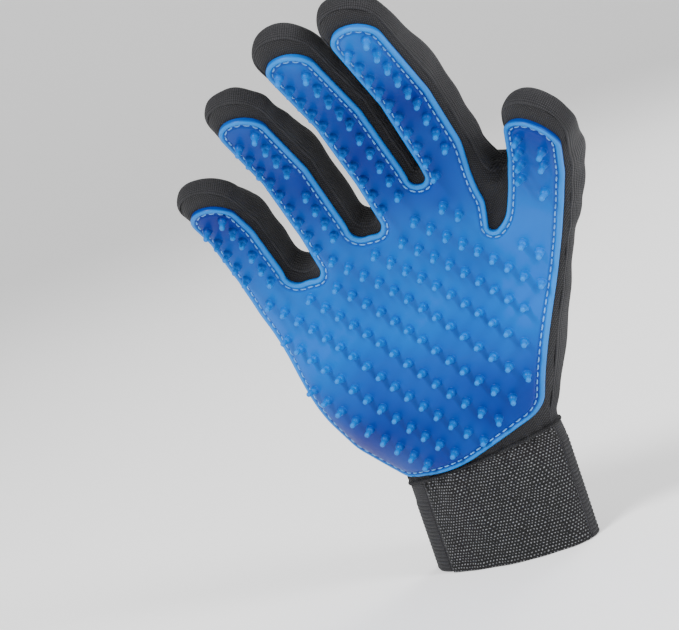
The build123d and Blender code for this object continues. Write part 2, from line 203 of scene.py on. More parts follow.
# ---- outlines -------------------------------------------------------------------------------
def rounded(corners, closed):
    """Polyline through corners (x, s, radius), each corner rounded by an arc."""
    count = len(corners)
    out = []
    for i, (x, s, radius) in enumerate(corners):
        p = np.array([x, s], float)
        if not closed and i in (0, count - 1):
            out.append(p)
            continue
        a = np.array(corners[i - 1][:2], float) - p
        b = np.array(corners[(i + 1) % count][:2], float) - p
        a_long, b_long = np.linalg.norm(a), np.linalg.norm(b)
        a, b = a / a_long, b / b_long
        opening = math.acos(float(np.clip(a @ b, -1, 1)))
        reach = min(radius / math.tan(opening / 2), 0.499 * a_long, 0.499 * b_long)
        if opening > math.pi - 0.01:
            out.append(p)
            continue
        radius = reach * math.tan(opening / 2)
        middle = p + (a + b) / np.linalg.norm(a + b) * math.hypot(radius, reach)
        start, end = p + a * reach - middle, p + b * reach - middle
        sweep = math.pi - opening
        side = 1 if start[0] * end[1] - start[1] * end[0] > 0 else -1
        pieces = max(2, int(sweep * radius / ARC_STEP))
        for k in range(pieces + 1):
            t = side * sweep * k / pieces
            c, n = math.cos(t), math.sin(t)
            out.append(middle + np.array([start[0] * c - start[1] * n, start[0] * n + start[1] * c]))
    return np.array(out)


def resample(path, step, closed=False):
    """Evenly spaced points along a polyline, with its arc length at each."""
    if closed:
        path = np.vstack([path, path[:1]])
    run = np.concatenate([[0], np.cumsum(np.linalg.norm(np.diff(path, axis=0), axis=1))])
    count = max(8, int(round(run[-1] / step)))
    at = np.linspace(0, run[-1], count, endpoint=not closed)
    return np.stack([np.interp(at, run, path[:, 0]), np.interp(at, run, path[:, 1])], 1), at


def inward(path, closed):
    """Unit normals to the right of the way the path runs, which is the inside of an outline."""
    if closed:
        way = np.roll(path, -1, 0) - np.roll(path, 1, 0)
    else:
        way = np.gradient(path, axis=0)
    way /= np.linalg.norm(way, axis=1)[:, None]
    return np.stack([way[:, 1], -way[:, 0]], 1)


def tube_end(finger, half, tip):
    """The two rounded corners at the end of a finger."""
    left, right = finger.at(-half, tip), finger.at(half, tip)
    return [(*left, half * TIP_ROUND), (*right, half * TIP_ROUND)]


def crotch(left, right, left_half, right_half, height, radius):
    """The rounded bottom of the gap between two neighbouring fingers."""
    a = left.at(left_half, height - left.s)
    b = right.at(-right_half, height - right.s)
    radius = min(radius, 0.49 * float(b[0] - a[0]))
    return [(*a, radius), (*b, radius)]


def cloth_corners():
    notch = THUMB.at(-THUMB_HALF, -3.4)
    return [
        (-CUFF_HALF, 20, 0), (-CUFF_HALF, 47, 8), (-53, 64, 18), (-59.5, 82, 45),
        (*LITTLE.at(-HALF, -18), 45),
        *tube_end(LITTLE, HALF, LITTLE.tip), *crotch(LITTLE, RING, HALF, HALF, 149, 9),
        *tube_end(RING, HALF, RING.tip), *crotch(RING, MIDDLE, HALF, HALF, 162.5, 9),
        *tube_end(MIDDLE, HALF, MIDDLE.tip), *crotch(MIDDLE, INDEX, HALF, HALF, 180.5, 9),
        *tube_end(INDEX, HALF, INDEX.tip), (*notch, 3),
        *tube_end(THUMB, THUMB_HALF, THUMB.tip), (*THUMB.at(THUMB_HALF, -84), 35), (CUFF_HALF, 57, 12),
        (CUFF_HALF, 20, 0)]


def pad_corners():
    return [
        (-34.5, 45.5, 14), (-51.5, 66, 25), (-58, 90, 40), (-66, 136, 30),
        *tube_end(LITTLE, PAD_HALF, LITTLE.pad_tip), *crotch(LITTLE, RING, PAD_HALF, PAD_HALF, 145.5, 6),
        *tube_end(RING, PAD_HALF, RING.pad_tip), *crotch(RING, MIDDLE, PAD_HALF, PAD_HALF, 159, 6),
        *tube_end(MIDDLE, PAD_HALF, MIDDLE.pad_tip), *crotch(MIDDLE, INDEX, PAD_HALF, PAD_HALF, 176, 6),
        *tube_end(INDEX, PAD_HALF, INDEX.pad_tip), (56.5, 190, 40), (52, 160, 30), (47.5, 142.5, 2.2),
        (*THUMB.at(-THUMB_PAD_HALF, -14), 18), *tube_end(THUMB, THUMB_PAD_HALF, THUMB.pad_tip),
        (*THUMB.at(THUMB_PAD_HALF - 1.5, -77), 40), (38, 64, 20), (-4, 47.5, 70)]


CLOTH = rounded(cloth_corners(), closed=False)
PAD_EDGE = rounded(pad_corners(), closed=True)


def distance_to(path, x, s, closed=False):
    """Distance of many points from a polyline."""
    path, _ = resample(path, 0.5, closed)
    out = np.empty(len(x))
    for i in range(0, len(x), 4000):
        part = slice(i, i + 4000)
        gap = (x[part, None] - path[:, 0]) ** 2 + (s[part, None] - path[:, 1]) ** 2
        out[part] = np.sqrt(gap.min(1))
    return out


def inside(path, x, s):
    """Which points lie inside a closed outline."""
    hit = np.zeros(len(x), bool)
    a, b = path, np.roll(path, -1, 0)
    for (x1, s1), (x2, s2) in zip(a, b):
        if s1 != s2:
            crosses = ((s1 > s) != (s2 > s)) & (x < (x2 - x1) * (s - s1) / (s2 - s1) + x1)
            hit ^= crosses
    return hit


# ---- from the pattern to the glove ----------------------------------------------------------
def rounding(s):
    """Width over which the palm rounds off to its side: the whole half width at the wrist."""
    palm = CUFF_HALF + (27 - CUFF_HALF) * ease((s - 50) / 45)
    return palm + (HALF - palm) * ease((s - 112) / 45)


def section(distance, s):
    """Place in the cross-section of a point this far inside the outline."""
    share = 1 - np.clip(distance / rounding(s), 0, 1)
    power = 2 + (SECTION - 2) * ease((s - 60) / 40)
    return (1 - share ** power) ** (1 / power)


def turned(points, pivot, axis, degrees):
    """Points turned about an axis through pivot, each by its own angle."""
    angle = np.radians(degrees)[:, None]
    rel = points - pivot
    cos, sin = np.cos(angle), np.sin(angle)
    spun = rel * cos + np.cross(axis, rel) * sin + axis * (rel @ axis)[:, None] * (1 - cos)
    return pivot + spun


def lane(finger, x, s):
    """Which points belong to a finger past the start of its bending zone, and how far up it."""
    u, v = finger.local(x, s)
    return (np.abs(u) < finger.half + 0.3) & (v > finger.zone_start - 1e-6), v


def place(x, s, frac):
    """The resting glove: pattern points to millimetres in the shared frame."""
    y1, z1 = palm_profile(s)
    y2, z2 = back_profile(s)
    dy, dz = y2 - y1, z2 - z1
    deep = np.hypot(dy, dz)
    skin = PAD * ease((s - SEAM) / 25)
    half = (deep - skin + SPARE * ease((s - seam(x) - 4) / 45)) / 2
    for finger in FINGERS:
        mine, v = lane(finger, x, s)
        up_tip = ease((v - finger.lower + 6) / (finger.tip - finger.lower + 2))
        half = half * np.where(mine, 1 - TIP_TAPER * up_tip, 1)
    at = skin + half * (1 - frac)
    points = np.stack([x, y1 + dy / deep * at, z1 + dz / deep * at], 1)
    for finger in FINGERS:
        mine, v = lane(finger, x, s)
        base, side, up = finger.space()
        bend = np.where(mine, KNUCKLE_BEND * ease((v - finger.zone_start) / (2 * ZONE)), 0)
        tip_bend = np.where(mine, MIDDLE_BEND * ease((v - finger.lower + ZONE) / (2 * ZONE)), 0)
        points = turned(points, base + up * finger.lower, side, tip_bend)
        points = turned(points, base, side, bend)
    u, v = THUMB.local(x, s)
    base, _, up = THUMB.space()
    roll = ease((v + 31) / 28) * ease((u + 29) / THUMB_HALF)
    roll = np.where(x < INDEX.x + HALF, roll * (1 - ease((s - 158) / 20)), roll)
    return turned(points, base, up, THUMB_TWIST * roll)


def surface(x, s, side):
    """Cloth surface over pattern points, with its outward normals. side is 1 for the palm, -1 back."""
    def at(px, ps):
        return place(px, ps, side * section(distance_to(CLOTH, px, ps), ps))
    tiny = 0.2
    points = at(x, s)
    normals = np.cross(at(x + tiny, s) - points, at(x, s + tiny) - points) * side
    return points, normals / np.linalg.norm(normals, axis=1)[:, None]


# ---- meshes in the pattern ------------------------------------------------------------------
class Sheet:
    """Pattern vertices (x, s, frac), their height off the cloth, texture coordinates and faces."""

    def __init__(self, co, height, texture, faces):
        self.co, self.height, self.texture, self.faces = co, height, texture, faces


def joined(*sheets):
    offset, co, height, texture, faces = 0, [], [], [], []
    for sheet in sheets:
        co.append(sheet.co)
        height.append(sheet.height)
        texture.append(sheet.texture)
        faces += [tuple(i + offset for i in face) for face in sheet.faces]
        offset += len(sheet.co)
    return Sheet(np.vstack(co), np.concatenate(height), np.vstack(texture), faces)


def filled(loop, step, height=0.0):
    """A flat sheet inside a closed outline: the outline's own points and a grid of points within."""
    low, high = loop.min(0), loop.max(0)
    rows = np.arange(low[1] + step, high[1], step * 0.87)
    grid = [(x + (k % 2) * step / 2, s) for k, s in enumerate(rows)
            for x in np.arange(low[0], high[0], step)]
    grid = np.array(grid)
    keep = inside(loop, grid[:, 0], grid[:, 1])
    grid = grid[keep]
    grid = grid[distance_to(loop, grid[:, 0], grid[:, 1], closed=True) > step * 0.55]
    points = [Vector(p) for p in np.vstack([loop, grid])]
    ring = list(range(len(loop)))
    verts, _, faces, _, _, _ = delaunay_2d_cdt(points, [], [ring], 1, 1e-5)
    co = np.array([(v[0], v[1], 0.0) for v in verts])
    return Sheet(co, np.full(len(co), height), co[:, :2].copy(), [tuple(f) for f in faces])


def wound(sheet):
    """All faces wound the same way, seen from the palm side."""
    flipped = []
    for face in sheet.faces:
        p = sheet.co[list(face[:3]), :2]
        turn = np.cross(p[1] - p[0], p[2] - p[0])
        flipped.append(face if turn > 0 else face[::-1])
    sheet.faces = flipped
    return sheet


def banded(rings, closed):
    """Quads between neighbouring rings of vertices; every ring has the same number."""
    count = len(rings[0][0])
    co = np.vstack([ring[0] for ring in rings])
    height = np.concatenate([ring[1] for ring in rings])
    texture = np.vstack([ring[2] for ring in rings])
    last = count if closed else count - 1
    faces = [(r * count + i, r * count + (i + 1) % count,
              (r + 1) * count + (i + 1) % count, (r + 1) * count + i)
             for r in range(len(rings) - 1) for i in range(last)]
    return Sheet(co, height, texture, faces)


def cut_pattern(sheet):
    """The sheet with edges along every line where one body's piece ends and the next begins."""
    bm = bmesh.new()
    values = np.column_stack([sheet.height, sheet.texture])
    layers = [bm.verts.layers.float.new(name) for name in ("height", "u", "v", "w")[:values.shape[1]]]
    made = []
    for point, row in zip(sheet.co, values):
        vert = bm.verts.new(point)
        for layer, value in zip(layers, row):
            vert[layer] = value
        made.append(vert)
    for face in sheet.faces:
        if len(set(face)) == len(face):
            try:
                bm.faces.new([made[i] for i in face])
            except ValueError:
                pass
    for finger in FINGERS:
        for v in (finger.zone_start, finger.cut):
            middle = finger.at(0, v)
            reach = [f for f in bm.faces if abs(finger.local(*f.calc_center_median()[:2])[1] - v) < 4
                     and abs(finger.local(*f.calc_center_median()[:2])[0]) < finger.half + 1]
            geometry = set(reach) | {e for f in reach for e in f.edges} | {p for f in reach for p in f.verts}
            bmesh.ops.bisect_plane(bm, geom=list(geometry), dist=1e-4, plane_co=(*middle, 0),
                                   plane_no=(*finger.along, 0))
    bmesh.ops.connect_verts_concave(bm, faces=[f for f in bm.faces if len(f.verts) > 4])
    bm.verts.ensure_lookup_table()
    bm.verts.index_update()
    co = np.array([v.co for v in bm.verts])
    data = np.array([[v[layer] for layer in layers] for v in bm.verts])
    faces = [tuple(v.index for v in f.verts) for f in bm.faces]
    bm.free()
    return Sheet(co, data[:, 0], data[:, 1:], faces)


def segment_of(x, s):
    """Name of the body that the pattern point belongs to."""
    for finger in FINGERS:
        u, v = finger.local(x, s)
        if abs(u) < finger.half + 0.3 and v > finger.zone_start:
            return finger.name + ("_lower" if v < finger.cut else "_upper")
    return "hand"


def vertex_normals(points, faces):
    normals = np.zeros_like(points)
    for size in (3, 4):
        group = np.array([f for f in faces if len(f) == size])
        if len(group):
            a, b, c = points[group[:, 0]], points[group[:, 1]], points[group[:, 2]]
            if size == 3:
                way = np.cross(b - a, c - a)
            else:
                way = np.cross(c - a, points[group[:, 3]] - b)
            for k in range(size):
                np.add.at(normals, group[:, k], way)
    length = np.linalg.norm(normals, axis=1)[:, None]
    return normals / np.maximum(length, 1e-12)


def as_object(name, points, faces, texture, normals):
    """A mesh in metres, smooth shaded, with the pattern's coordinates kept for its material."""
    mesh = bpy.data.meshes.new(name)
    mesh.from_pydata([tuple(p) for p in points * MM], [], faces)
    mesh.polygons.foreach_set("use_smooth", [True] * len(mesh.polygons))
    flat = mesh.attributes.new("flat", "FLOAT_VECTOR", "POINT")
    if texture.shape[1] == 2:
        texture = np.column_stack([texture, np.zeros(len(texture))])
    flat.data.foreach_set("vector", texture.astype(np.float32).ravel())
    mesh.normals_split_custom_set_from_vertices([tuple(n) for n in normals])
    mesh.update()
    piece = bpy.data.objects.new(name, mesh)
    bpy.context.scene.collection.objects.link(piece)
    return piece


def shown(piece, body, material, nodes):
    """Give a finished piece its material, hide the CAD nodes it stands in for, and attach a hand piece to its
    body; a finger's piece is only baked in place.
    """
    piece.data.materials.append(material)
    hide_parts(*nodes)
    finger = next((f for f in FINGERS if body.startswith(f.name)), None)
    if finger is None:
        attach(piece, "hand")
        return
    base, side, up = finger.space()
    if body.endswith("lower"):
        start, end = base + up * finger.zone_start, base + up * (finger.zone_start + 2 * ZONE)
    else:
        hinge = base + up * finger.lower
        bent = turned(np.array([hinge - up * ZONE, hinge + up * ZONE]), base, side,
                      np.array([KNUCKLE_BEND] * 2))
        start, end = bent
    if finger is THUMB:
        start, end = turned(np.array([start, end]), base, up, np.array([THUMB_TWIST] * 2))
    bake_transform(piece)


def flat_area(texture, faces):
    """Area of a piece in its flat pattern, in square millimetres."""
    total = 0.0
    for face in faces:
        u, v = texture[list(face), 0], texture[list(face), 1]
        total += abs(float((u * np.roll(v, -1) - v * np.roll(u, -1)).sum())) / 2
    return total


def sewn_cloth(texture, faces, strip=False):
    """The size that a sewn piece was cut to, a panel's outline or a strip; it is worked out here but not
    used.
    """
    area = flat_area(texture, faces)
    width, length = (float(np.ptp(texture[:, k])) for k in (0, 1))
    if strip:
        length = area / width


def divided(points, sheet, make):
    """Split one continuous surface into a piece for each body; make(body, points, ...) builds it."""
    normals = vertex_normals(points, sheet.faces)
    centre = [sheet.co[list(f), :2].mean(0) for f in sheet.faces]
    groups = {}
    for face, (x, s) in zip(sheet.faces, centre):
        groups.setdefault(segment_of(x, s), []).append(face)
    for body, faces in groups.items():
        used = sorted({i for f in faces for i in f})
        index = {v: k for k, v in enumerate(used)}
        own = [tuple(index[i] for i in f) for f in faces]
        make(body, points[used], own, sheet.texture[used], normals[used])


# ---- materials ------------------------------------------------------------------------------
class Look:
    """Builds one node material from the pattern's coordinates in millimetres."""

    def __init__(self, name, roughness, sheen=0.0, specular=0.5):
        self.material = bpy.data.materials.new(name)
        self.material.use_nodes = True
        self.tree = self.material.node_tree
        self.shader = self.tree.nodes["Principled BSDF"]
        self.set("Roughness", roughness)
        self.set("Sheen Weight", sheen)
        self.set("Sheen Roughness", 0.45)
        self.set("Specular IOR Level", specular)
        flat = self.add("ShaderNodeAttribute", attribute_name="flat")
        self.flat = flat.outputs["Vector"]
        split = self.add("ShaderNodeSeparateXYZ")
        self.link(self.flat, split.inputs[0])
        self.x, self.s, self.mark = split.outputs

    def add(self, kind, **values):
        node = self.tree.nodes.new(kind)
        for key, value in values.items():
            setattr(node, key, value)
        return node

    def link(self, source, target):
        self.tree.links.new(source, target)

    def set(self, name, value):
        self.shader.inputs[name].default_value = value

    def math(self, operation, *values):
        node = self.add("ShaderNodeMath", operation=operation)
        for socket, value in zip(node.inputs, values):
            if isinstance(value, (int, float)):
                socket.default_value = value
            else:
                self.link(value, socket)
        return node.outputs[0]

    def wave(self, value, pitch, shift=0.0):
        """A sine from 0 to 1 with this pitch in millimetres."""
        turn = self.math("MULTIPLY_ADD", value, 2 * math.pi / pitch, shift)
        return self.math("MULTIPLY_ADD", self.math("SINE", turn), 0.5, 0.5)

    def noise(self, scale, detail):
        node = self.add("ShaderNodeTexNoise")
        node.inputs["Scale"].default_value = scale
        node.inputs["Detail"].default_value = detail
        self.link(self.flat, node.inputs["Vector"])
        return node.outputs["Fac"]

    def steps(self, value, low, high, out_low=0.0, out_high=1.0):
        node = self.add("ShaderNodeMapRange")
        for name, number in zip(("From Min", "From Max", "To Min", "To Max"), (low, high, out_low, out_high)):
            node.inputs[name].default_value = number
        self.link(value, node.inputs["Value"])
        return node.outputs[0]

    def colour(self, fac, first, second):
        node = self.add("ShaderNodeMix", data_type="RGBA")
        self.link(fac, node.inputs[0])
        for socket, value in ((node.inputs[6], first), (node.inputs[7], second)):
            if isinstance(value, tuple):
                socket.default_value = (*value, 1)
            else:
                self.link(value, socket)
        return node.outputs[2]

    def finish(self, colour, bump, height_mm, roughness=None):
        """Link the colour, a relief of this height and, if given, the roughness."""
        self.link(colour, self.shader.inputs["Base Color"])
        if roughness is not None:
            self.link(roughness, self.shader.inputs["Roughness"])
        node = self.add("ShaderNodeBump")
        node.inputs["Strength"].default_value = 1.0
        node.inputs["Distance"].default_value = height_mm * MM
        self.link(bump, node.inputs["Height"])
        self.link(node.outputs[0], self.shader.inputs["Normal"])
        return self.material


def rubber_look():
    """Moulded rubber: random cloudy tone, painted light and shade as a slow wave of deeper and lighter blues
    up the glove, a painted highlight on the raised rim along its edge, painted shade along the thread's
    sunken line, and pins painted lighter towards their tips as a painted highlight.
    """
    look = Look("blue_rubber", 0.36, specular=0.12)
    cloud = look.steps(look.noise(0.022, 2), 0.36, 0.64)
    # painted light and shade: a slow wave up the glove, 150 mm long, makes the blue lighter and darker as
    # light falls on it; the blend below adds random cloudy tone to this painted light
    painted_light_swell = look.steps(look.wave(look.s, 150, -3.9), 0.1, 0.9)
    light = look.math("MULTIPLY_ADD", cloud, 0.3, look.math("MULTIPLY", painted_light_swell, 0.7))
    colour = look.colour(light, (0.0, 0.012, 0.19), (0.0, 0.120, 0.50))
    # painted highlight: the raised rim along the pad's edge is painted a lighter blue
    bead_highlight = look.math("MULTIPLY", look.steps(look.mark, 1.5, 2.1, 1.0, 0.0), look.steps(look.mark, 0.0, 0.3))
    # painted shade: the sunken line where the thread runs is painted a darker blue
    groove_shade = look.math("MULTIPLY", look.steps(look.mark, 1.9, 2.5), look.steps(look.mark, 3.0, 3.8, 1.0, 0.0))
    colour = look.colour(look.math("MULTIPLY", bead_highlight, 0.7), colour, (0.0, 0.22, 0.68))
    colour = look.colour(look.math("MULTIPLY", groove_shade, 0.45), colour, (0.0, 0.020, 0.22))
    # painted highlight: a pin is painted lighter the higher up it a point is, its mark being 20 plus its
    # height
    colour = look.colour(look.steps(look.mark, 20.3, 25.0, 0.0, 0.75), colour, (0.0, 0.19, 0.62))
    rough = look.steps(look.noise(0.5, 3), 0.3, 0.7, 0.30, 0.44)
    return look.finish(colour, look.noise(2.6, 2), 0.035, rough)


def thread_look():
    look = Look("blue_thread", 0.6, sheen=0.3)
    twist = look.wave(look.math("ADD", look.x, look.s), 0.45)
    colour = look.colour(twist, (0.01, 0.16, 0.62), (0.14, 0.50, 0.92))
    return look.finish(colour, twist, 0.08)


def cloth_look():
    look = Look("black_cloth", 0.85, sheen=0.06, specular=0.3)
    a = look.wave(look.math("ADD", look.x, look.s), 1.05)
    b = look.wave(look.math("SUBTRACT", look.x, look.s), 1.05)
    knots = look.math("MULTIPLY", a, b)
    fuzz = look.noise(3.0, 4)
    colour = look.colour(look.math("MULTIPLY", knots, fuzz), (0.006, 0.006, 0.007), (0.055, 0.055, 0.06))
    return look.finish(colour, look.math("MULTIPLY_ADD", knots, 0.8, look.math("MULTIPLY", fuzz, 0.3)), 0.28)


def rib_look():
    look = Look("black_rib", 0.8, sheen=0.08, specular=0.3)
    loops = look.wave(look.s, 0.85)
    fuzz = look.noise(2.4, 4)
    colour = look.colour(look.math("MULTIPLY", loops, fuzz), (0.006, 0.006, 0.007), (0.05, 0.05, 0.056))
    return look.finish(colour, look.math("MULTIPLY_ADD", loops, 0.6, fuzz), 0.14)


def mesh_look():
    """Air mesh: grey knitted bars round holes painted near-black as painted shade, darker the deeper down;
    the mark is how far down a hole a point is.
    """
    look = Look("air_mesh", 0.78, sheen=0.08, specular=0.3)
    threads = look.wave(look.math("MULTIPLY_ADD", look.x, 0.4, look.s), 0.6)
    fuzz = look.noise(1.8, 4)
    bars = look.colour(look.math("MULTIPLY", threads, fuzz), (0.02, 0.02, 0.022), (0.13, 0.132, 0.14))
    # painted shade: near-black the deeper a point lies in a hole
    colour = look.colour(look.steps(look.mark, 0.15, 0.6), bars, (0.002, 0.002, 0.002))
    return look.finish(colour, look.math("MULTIPLY_ADD", threads, 0.6, fuzz), 0.16)


def woven_look():
    """Woven band: staggered rows of pale flecks on black, uneven as real yarn is."""
    look = Look("woven_cuff", 0.8, sheen=0.05, specular=0.3)
    sway = look.noise(0.09, 2)
    drift = look.math("MULTIPLY_ADD", sway, 3.0, look.math("MULTIPLY", look.noise(0.7, 2), 0.55))
    x = look.math("ADD", look.x, drift)
    s = look.math("MULTIPLY_ADD", drift, 0.7, look.s)
    odd = look.math("ROUND", look.math("DIVIDE", s, 1.35))
    a = look.wave(look.math("MULTIPLY_ADD", odd, 0.75, x), 1.5)
    dots = look.math("MULTIPLY", a, look.wave(s, 1.35))
    patchy = look.steps(look.noise(1.1, 3), 0.35, 0.65, 0.55, 1.25)
    specks = look.steps(look.math("MULTIPLY", dots, patchy), 0.38, 0.85)
    colour = look.colour(specks, (0.002, 0.002, 0.0025), (0.17, 0.174, 0.182))
    return look.finish(colour, dots, 0.25)


def elastic_look():
    look = Look("cuff_elastic", 0.85, sheen=0.05, specular=0.3)
    warp = look.wave(look.x, 0.8)
    fuzz = look.noise(2.2, 4)
    colour = look.colour(look.math("MULTIPLY", warp, fuzz), (0.005, 0.005, 0.006), (0.06, 0.06, 0.066))
    return look.finish(colour, look.math("MULTIPLY_ADD", warp, 0.7, fuzz), 0.16)


RUBBER, THREAD, CLOTH_LOOK = rubber_look(), thread_look(), cloth_look()
RIB, AIR_MESH, WOVEN, ELASTIC = rib_look(), mesh_look(), woven_look(), elastic_look()


# ---- cloth panels and side bands ------------------------------------------------------------
def above_seam(path):
    """The part of the cloth's outline above the cuff seam."""
    high = path[:, 1] >= seam(path[:, 0])
    first, last = np.argmax(high), len(high) - np.argmax(high[::-1])
    left = np.array([[-CUFF_HALF, seam(-CUFF_HALF)]])
    right = np.array([[CUFF_HALF, seam(CUFF_HALF)]])
    return np.vstack([left, path[first:last], right])


EDGE, EDGE_RUN = resample(above_seam(CLOTH), 1.2)
EDGE_IN = inward(EDGE, closed=False)
RIBS = 10                                    # ribs across a side band
BAND_HALF = 8.5                              # half width of the side band with its ribs pulled flat
RIM_OFFSETS = (SEAM_INSET, 1.8, 2.5, 3.4, 4.5, 6.0)


def inset(distance):
    """The cloth's outline moved inwards, with its two ends kept on the cuff seam."""
    path = EDGE + EDGE_IN * distance
    near = 1 - ease((EDGE[:, 1] - seam(EDGE[:, 0])) / 15)
    path[:, 1] += SEAM_SLOPE * (path[:, 0] - EDGE[:, 0]) * near
    return path


def gathers(x, s):
    """Small folds that run up from the cuff seam and die away."""
    up = s - seam(x)
    folds = np.sin(x * 1.15 + 2.1 * np.sin(x * 0.23)) + 0.5 * np.sin(x * 2.3 + 1.0)
    return 0.45 * folds * (1 - ease(up / 16)) * ease(up / 1.5)


def slack(x, s):
    """Slow unevenness of the cloth."""
    return 0.22 * np.sin(x * 0.21 + 1.3 * np.sin(s * 0.09)) * np.sin(s * 0.17 + 0.8 * np.sin(x * 0.11))


def holes(x, s):
    """The air mesh's oval holes, in staggered rows."""
    wide, tall = 3.3, 2.7
    row = np.round(s / tall)
    column = np.round(x / wide - 0.5 * (row % 2)) + 0.5 * (row % 2)
    away = np.hypot((x - column * wide) / 1.05, (s - row * tall) / 0.8)
    return -1.0 * (1 - ease((away - 0.5) / 0.7))


def weld(sheet):
    """Join vertices that lie on each other."""
    key = np.round(np.column_stack([sheet.co, sheet.height]) / 2e-3).astype(np.int64)
    _, first, index = np.unique(key, axis=0, return_index=True, return_inverse=True)
    index = index.ravel()
    faces = [tuple(int(index[i]) for i in f) for f in sheet.faces]
    faces = [f for f in faces if len(set(f)) == len(f)]
    return Sheet(sheet.co[first], sheet.height[first], sheet.texture[first], faces)


def panel(side, step):
    """The cloth face on one side of the glove, inside its side seams and above the cuff seam."""
    rings = []
    for distance in RIM_OFFSETS:
        path = inset(distance)
        rings.append((np.column_stack([path, np.zeros(len(path))]), np.zeros(len(path)), path))
    rim = wound(banded(rings, closed=False))
    last = rings[-1][2]
    across = np.linspace(last[-1, 0], last[0, 0], 70)[1:-1]
    loop = np.vstack([last, np.column_stack([across, seam(across)])])
    sheet = joined(rim, wound(filled(loop, step)))
    sheet.co[:, 2] = 0
    sheet = cut_pattern(weld(sheet))
    x, s = sheet.co[:, 0], sheet.co[:, 1]
    sheet.height = gathers(x, s) + slack(x, s)
    sheet.texture = np.column_stack([x, s, np.zeros(len(x))])
    if side < 0:
        inside_rim = ease((distance_to(CLOTH, x, s) - 3.5) / 1.5) * ease((s - seam(x) - 1.5) / 1.5)
        sunk = holes(x, s) * inside_rim
        sheet.height = sheet.height + sunk
        # the depth of the holes, kept as the mark that the air mesh reads for its painted shade
        sheet.texture[:, 2] = -sunk
        sheet.faces = [f[::-1] for f in sheet.faces]
    return sheet


def make_panel(side, step, label, material, nodes_of):
    sheet = panel(side, step)
    points, normals = surface(sheet.co[:, 0], sheet.co[:, 1], side)
    points = points + normals * sheet.height[:, None]

    def make(body, points, faces, texture, normals):
        piece = as_object(f"{body}_{label}", points, faces, texture, normals)
        shown(piece, body, material, nodes_of(body))
        sewn_cloth(texture, faces)
    divided(points, sheet, make)


def band_nodes(body):
    if body == "hand":
        return ("finger_webs", "little_side_band", "thumb_side_band")
    return (body + "_side_band",)


def make_bands():
    """The ribbed knit strip round the glove's whole edge, with its real ribs."""
    across = np.linspace(1, -1, RIBS * 6 + 1)
    profile = 0.42 * np.abs(np.sin(np.linspace(0, math.pi * RIBS, RIBS * 6 + 1))) ** 0.7
    height = EDGE[:, 1]
    limit = section(np.full(len(EDGE), SEAM_INSET), height)
    power = 2 + (SECTION - 2) * ease((height - 60) / 40)
    rings = []
    for step, rise in zip(across, profile):
        frac = step * limit
        share = (1 - np.abs(frac) ** power) ** (1 / power)
        path = inset((rounding(height) * (1 - share))[:, None])
        rings.append((np.column_stack([path, frac]), np.full(len(path), rise),
                      np.column_stack([np.full(len(path), step * BAND_HALF), EDGE_RUN])))
    sheet = cut_pattern(banded(rings, closed=False))
    points = place(*sheet.co.T)
    normals = vertex_normals(points, sheet.faces)
    centre = points.mean(0)
    if ((points - centre) * normals).sum() < 0:
        sheet.faces = [f[::-1] for f in sheet.faces]
        normals = -normals
    wrinkle = 0.25 * np.sin(sheet.texture[:, 1] * 0.33 + 2 * np.sin(sheet.texture[:, 1] * 0.05))
    points = points + normals * (sheet.height + wrinkle)[:, None]

    def make(body, points, faces, texture, normals):
        piece = as_object(f"{body}_rib_band", points, faces, texture, normals)
        shown(piece, body, RIB, band_nodes(body))
        sewn_cloth(texture, faces, strip=True)
    divided(points, sheet, make)


make_panel(1, 2.2, "palm_cloth", CLOTH_LOOK,
           lambda body: ("palm_base_panel",) if body == "hand" else (body + "_base",))
make_panel(-1, 0.8, "back_mesh", AIR_MESH,
           lambda body: ("back_mesh_panel",) if body == "hand" else (body + "_mesh_back",))
make_bands()


# ---- rubber pad, pins and stitches ----------------------------------------------------------
PAD_LINE, _ = resample(PAD_EDGE, 0.9, closed=True)
PAD_IN = inward(PAD_LINE, closed=True)
# the pad's edge: (distance inside it, height), a bead and then the groove of the thread
BORDER = ((0.0, -0.4), (0.02, 1.1), (0.15, 1.75), (0.5, 2.2), (0.95, 2.35), (1.4, 2.25), (1.75, 1.95),
          (2.05, 1.55), (2.4, 1.4), (2.8, 1.4), (3.15, 1.55), (3.5, 1.85), (4.0, 2.0))
# a pin: (radius, height), a broad foot and a thinner stem
SPIKE = ((2.5, -0.25), (2.05, 0.02), (1.85, 0.3), (1.78, 1.2), (1.7, 1.7), (1.45, 2.1), (1.22, 2.35),
         (1.15, 2.6), (1.17, 4.2), (1.12, 4.7), (0.95, 5.12), (0.6, 5.4), (0.25, 5.49), (0.0, 5.5))


def pad_name(body):
    return ("palm_pad" if body == "hand" else body + "_pad",)


def make_pad():
    rings = []
    for distance, height in BORDER:
        path = PAD_LINE + PAD_IN * distance
        rings.append((np.column_stack([path, np.zeros(len(path))]), np.full(len(path), height),
                      np.column_stack([path, np.full(len(path), distance)])))
    rim = wound(banded(rings, closed=True))
    middle = wound(filled(rings[-1][0][:, :2], 1.7, BORDER[-1][1]))
    middle.texture = np.column_stack([middle.texture, np.full(len(middle.co), BORDER[-1][0])])
    sheet = joined(rim, middle)
    sheet.co[:, 2] = 0
    sheet = cut_pattern(weld(sheet))
    points, normals = surface(sheet.co[:, 0], sheet.co[:, 1], 1)
    points = points + normals * sheet.height[:, None]

    def make(body, points, faces, texture, normals):
        piece = as_object(f"{body}_rubber_pad", points, faces, texture, normals)
        shown(piece, body, RUBBER, pad_name(body))
    divided(points, sheet, make)


